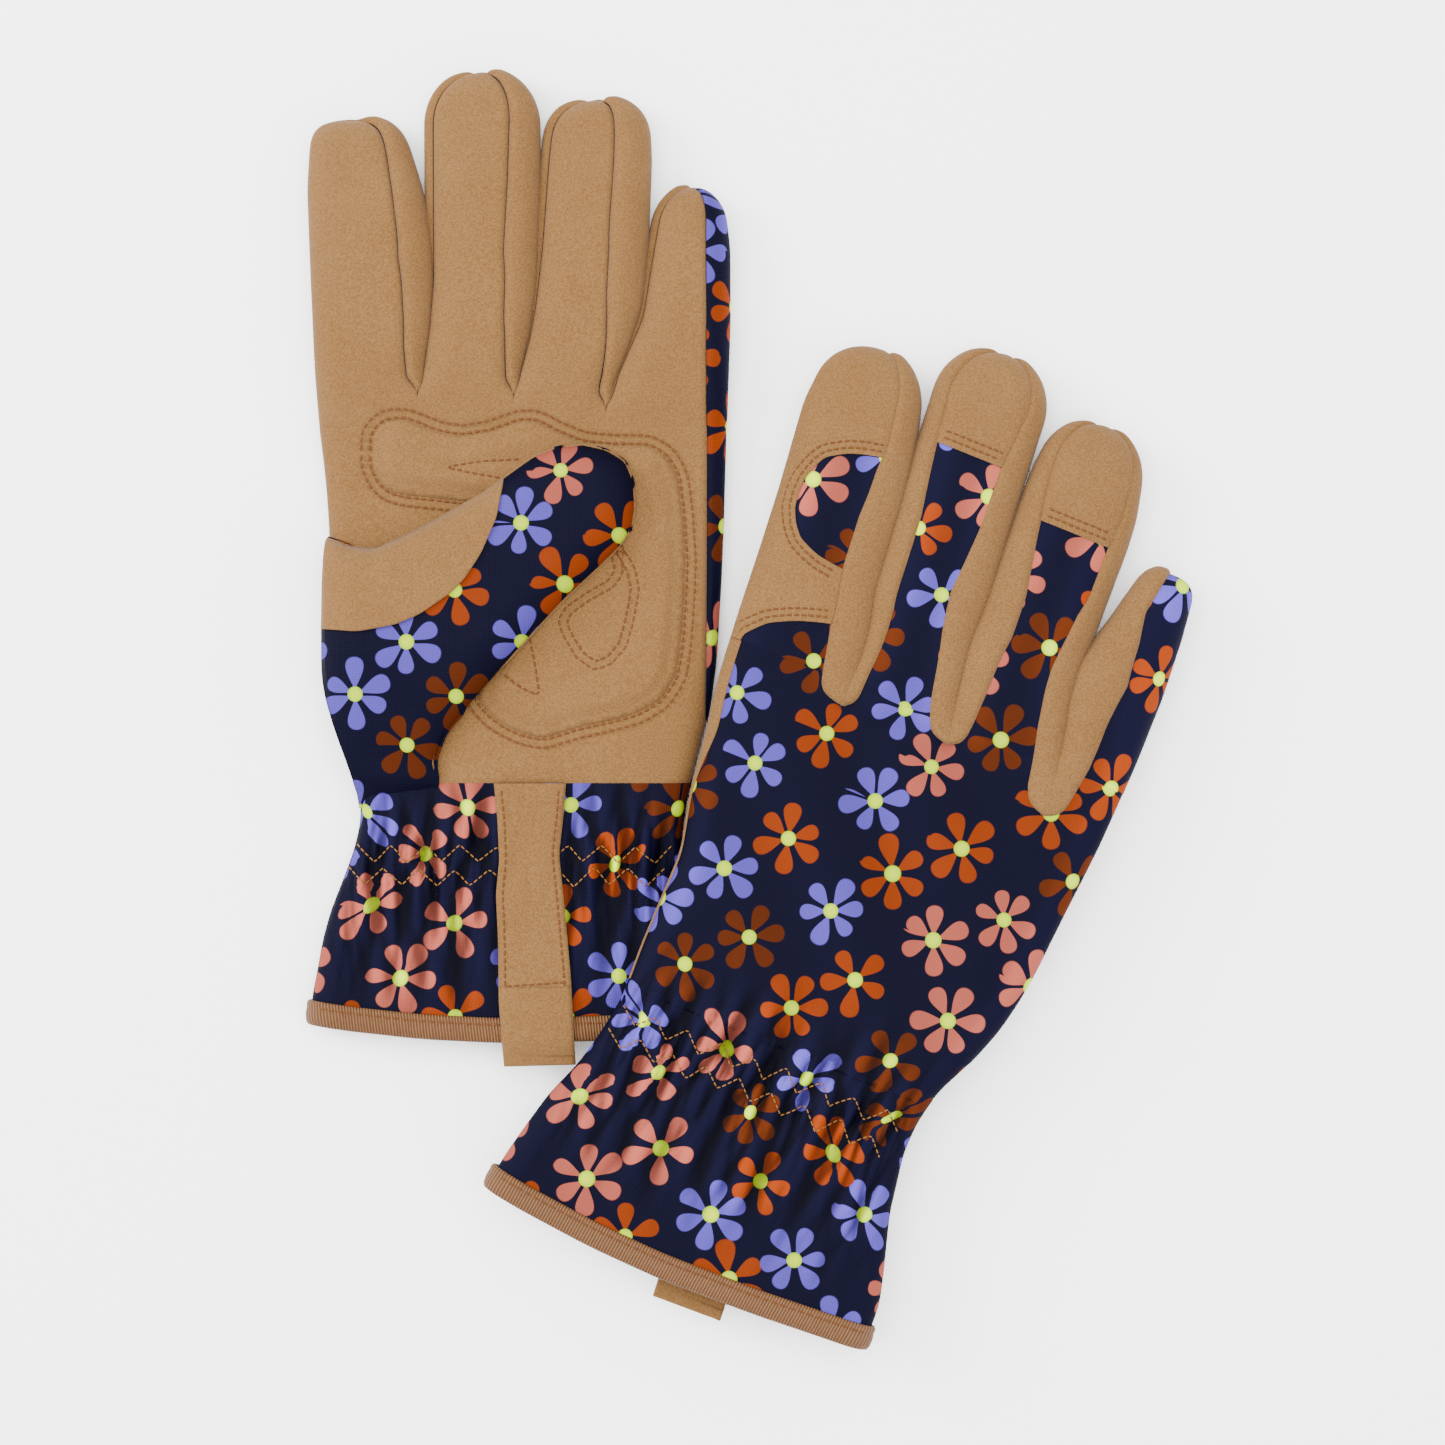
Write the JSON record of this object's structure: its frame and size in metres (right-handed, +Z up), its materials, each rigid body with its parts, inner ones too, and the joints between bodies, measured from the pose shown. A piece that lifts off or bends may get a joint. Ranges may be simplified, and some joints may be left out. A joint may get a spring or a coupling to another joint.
{
  "type": "gardening gloves",
  "caption": "Pair of gardening gloves with suede palms, gusseted fingers, printed stretch backs, elastic wrists, bound cuffs and pull tabs.",
  "frame": {"origin": "on the table, under the middle of the pair's bounding box", "axes": "+Z up from the table; +Y along the left glove from its cuff to its fingertips; +X from the left glove to the right glove"},
  "size_m": [0.2164, 0.318, 0.0175],
  "materials": {
    "suede": "synthetic suede, matt, fine nap",
    "floral_print": "navy stretch knit with a flower print",
    "tan_thread": "twisted tan sewing thread",
    "brown_thread": "twisted brown sewing thread",
    "binding_tape": "ribbed tape, slightly glossy",
    "elastic": "woven elastic band"
  },
  "bodies": {
    "left_hand": {"left_palm_panel": "suede", "left_back_panel": "floral_print", "left_wrist_panel": "floral_print", "left_wrist_elastic": "elastic", "left_wrist_stitching": "tan_thread", "left_palm_pads": "suede", "left_pad_stitching": "brown_thread", "left_cuff_binding": "binding_tape", "left_pull_tab": "suede"},
    "left_tab": {"left_pull_tab_tail": "suede"},
    "left_thumb": {"left_thumb_palm_side": "suede", "left_thumb_back": "floral_print", "left_thumb_web_patch": "suede"},
    "left_index": {"left_index_palm_side": "suede", "left_index_gusset": "suede", "left_index_back": "floral_print", "left_index_tip_cap": "suede", "left_index_saddle": "suede"},
    "left_middle": {"left_middle_palm_side": "suede", "left_middle_gusset": "suede", "left_middle_back": "floral_print", "left_middle_tip_cap": "suede"},
    "left_ring": {"left_ring_palm_side": "suede", "left_ring_gusset": "suede", "left_ring_back": "floral_print", "left_ring_tip_cap": "suede"},
    "left_little": {"left_little_palm_side": "suede", "left_little_gusset": "suede", "left_little_back": "floral_print"},
    "right_hand": {"right_palm_panel": "suede", "right_back_panel": "floral_print", "right_wrist_panel": "floral_print", "right_wrist_elastic": "elastic", "right_wrist_stitching": "tan_thread", "right_palm_pads": "suede", "right_pad_stitching": "brown_thread", "right_cuff_binding": "binding_tape", "right_pull_tab": "suede"},
    "right_tab": {"right_pull_tab_tail": "suede"},
    "right_thumb": {"right_thumb_palm_side": "suede", "right_thumb_back": "floral_print", "right_thumb_web_patch": "suede"},
    "right_index": {"right_index_palm_side": "suede", "right_index_gusset": "suede", "right_index_back": "floral_print", "right_index_tip_cap": "suede", "right_index_saddle": "suede"},
    "right_middle": {"right_middle_palm_side": "suede", "right_middle_gusset": "suede", "right_middle_back": "floral_print", "right_middle_tip_cap": "suede"},
    "right_ring": {"right_ring_palm_side": "suede", "right_ring_gusset": "suede", "right_ring_back": "floral_print", "right_ring_tip_cap": "suede"},
    "right_little": {"right_little_palm_side": "suede", "right_little_gusset": "suede", "right_little_back": "floral_print"}
  },
  "joints": [
    {"name": "right_glove_lift", "type": "slide", "parent": "left_hand", "child": "right_hand", "axis": [0, 0, 1], "range_m": [0, 0.08]},
    {"name": "left_index_curl", "type": "hinge", "parent": "left_hand", "child": "left_index", "pos_m": [-0.09305, 0.07021, 0.012], "axis": [1, 0, 0], "range_deg": [0, 85]},
    {"name": "right_index_fold_back", "type": "hinge", "parent": "right_hand", "child": "right_index", "pos_m": [0.0066, 0.01425, 0.0175], "axis": [0.9272, -0.3746, 0], "range_deg": [0, 60]},
    {"name": "left_middle_curl", "type": "hinge", "parent": "left_hand", "child": "left_middle", "pos_m": [-0.06846, 0.07021, 0.012], "axis": [1, 0, 0], "range_deg": [0, 85]},
    {"name": "right_middle_fold_back", "type": "hinge", "parent": "right_hand", "child": "right_middle", "pos_m": [0.02941, 0.00503, 0.0175], "axis": [0.9272, -0.3746, 0], "range_deg": [0, 60]},
    {"name": "left_ring_curl", "type": "hinge", "parent": "left_hand", "child": "left_ring", "pos_m": [-0.04455, 0.07021, 0.012], "axis": [1, 0, 0], "range_deg": [0, 85]},
    {"name": "right_ring_fold_back", "type": "hinge", "parent": "right_hand", "child": "right_ring", "pos_m": [0.05157, -0.00392, 0.0175], "axis": [0.9272, -0.3746, 0], "range_deg": [0, 60]},
    {"name": "left_little_curl", "type": "hinge", "parent": "left_hand", "child": "left_little", "pos_m": [-0.0176, 0.07021, 0.012], "axis": [1, 0, 0], "range_deg": [0, 85]},
    {"name": "right_little_fold_back", "type": "hinge", "parent": "right_hand", "child": "right_little", "pos_m": [0.07655, -0.01402, 0.0175], "axis": [0.9272, -0.3746, 0], "range_deg": [0, 60]},
    {"name": "left_thumb_fold_out", "type": "hinge", "parent": "left_hand", "child": "left_thumb", "pos_m": [-0.10186, 0.01671, 0.0095], "axis": [0, -1, 0], "range_deg": [0, 90]},
    {"name": "right_thumb_swing", "type": "hinge", "parent": "right_hand", "child": "right_thumb", "pos_m": [-0.00445, -0.06703, 0.0039], "axis": [0, 0, -1], "range_deg": [0, 20]},
    {"name": "left_tab_lift", "type": "hinge", "parent": "left_hand", "child": "left_tab", "pos_m": [-0.05096, -0.07004, 0.0092], "axis": [-1, 0, 0], "range_deg": [0, 90]},
    {"name": "right_tab_drop", "type": "hinge", "parent": "right_hand", "child": "right_tab", "pos_m": [-0.00691, -0.13156, 0.0083], "axis": [0.9272, -0.3746, 0], "range_deg": [0, 20]}
  ]
}
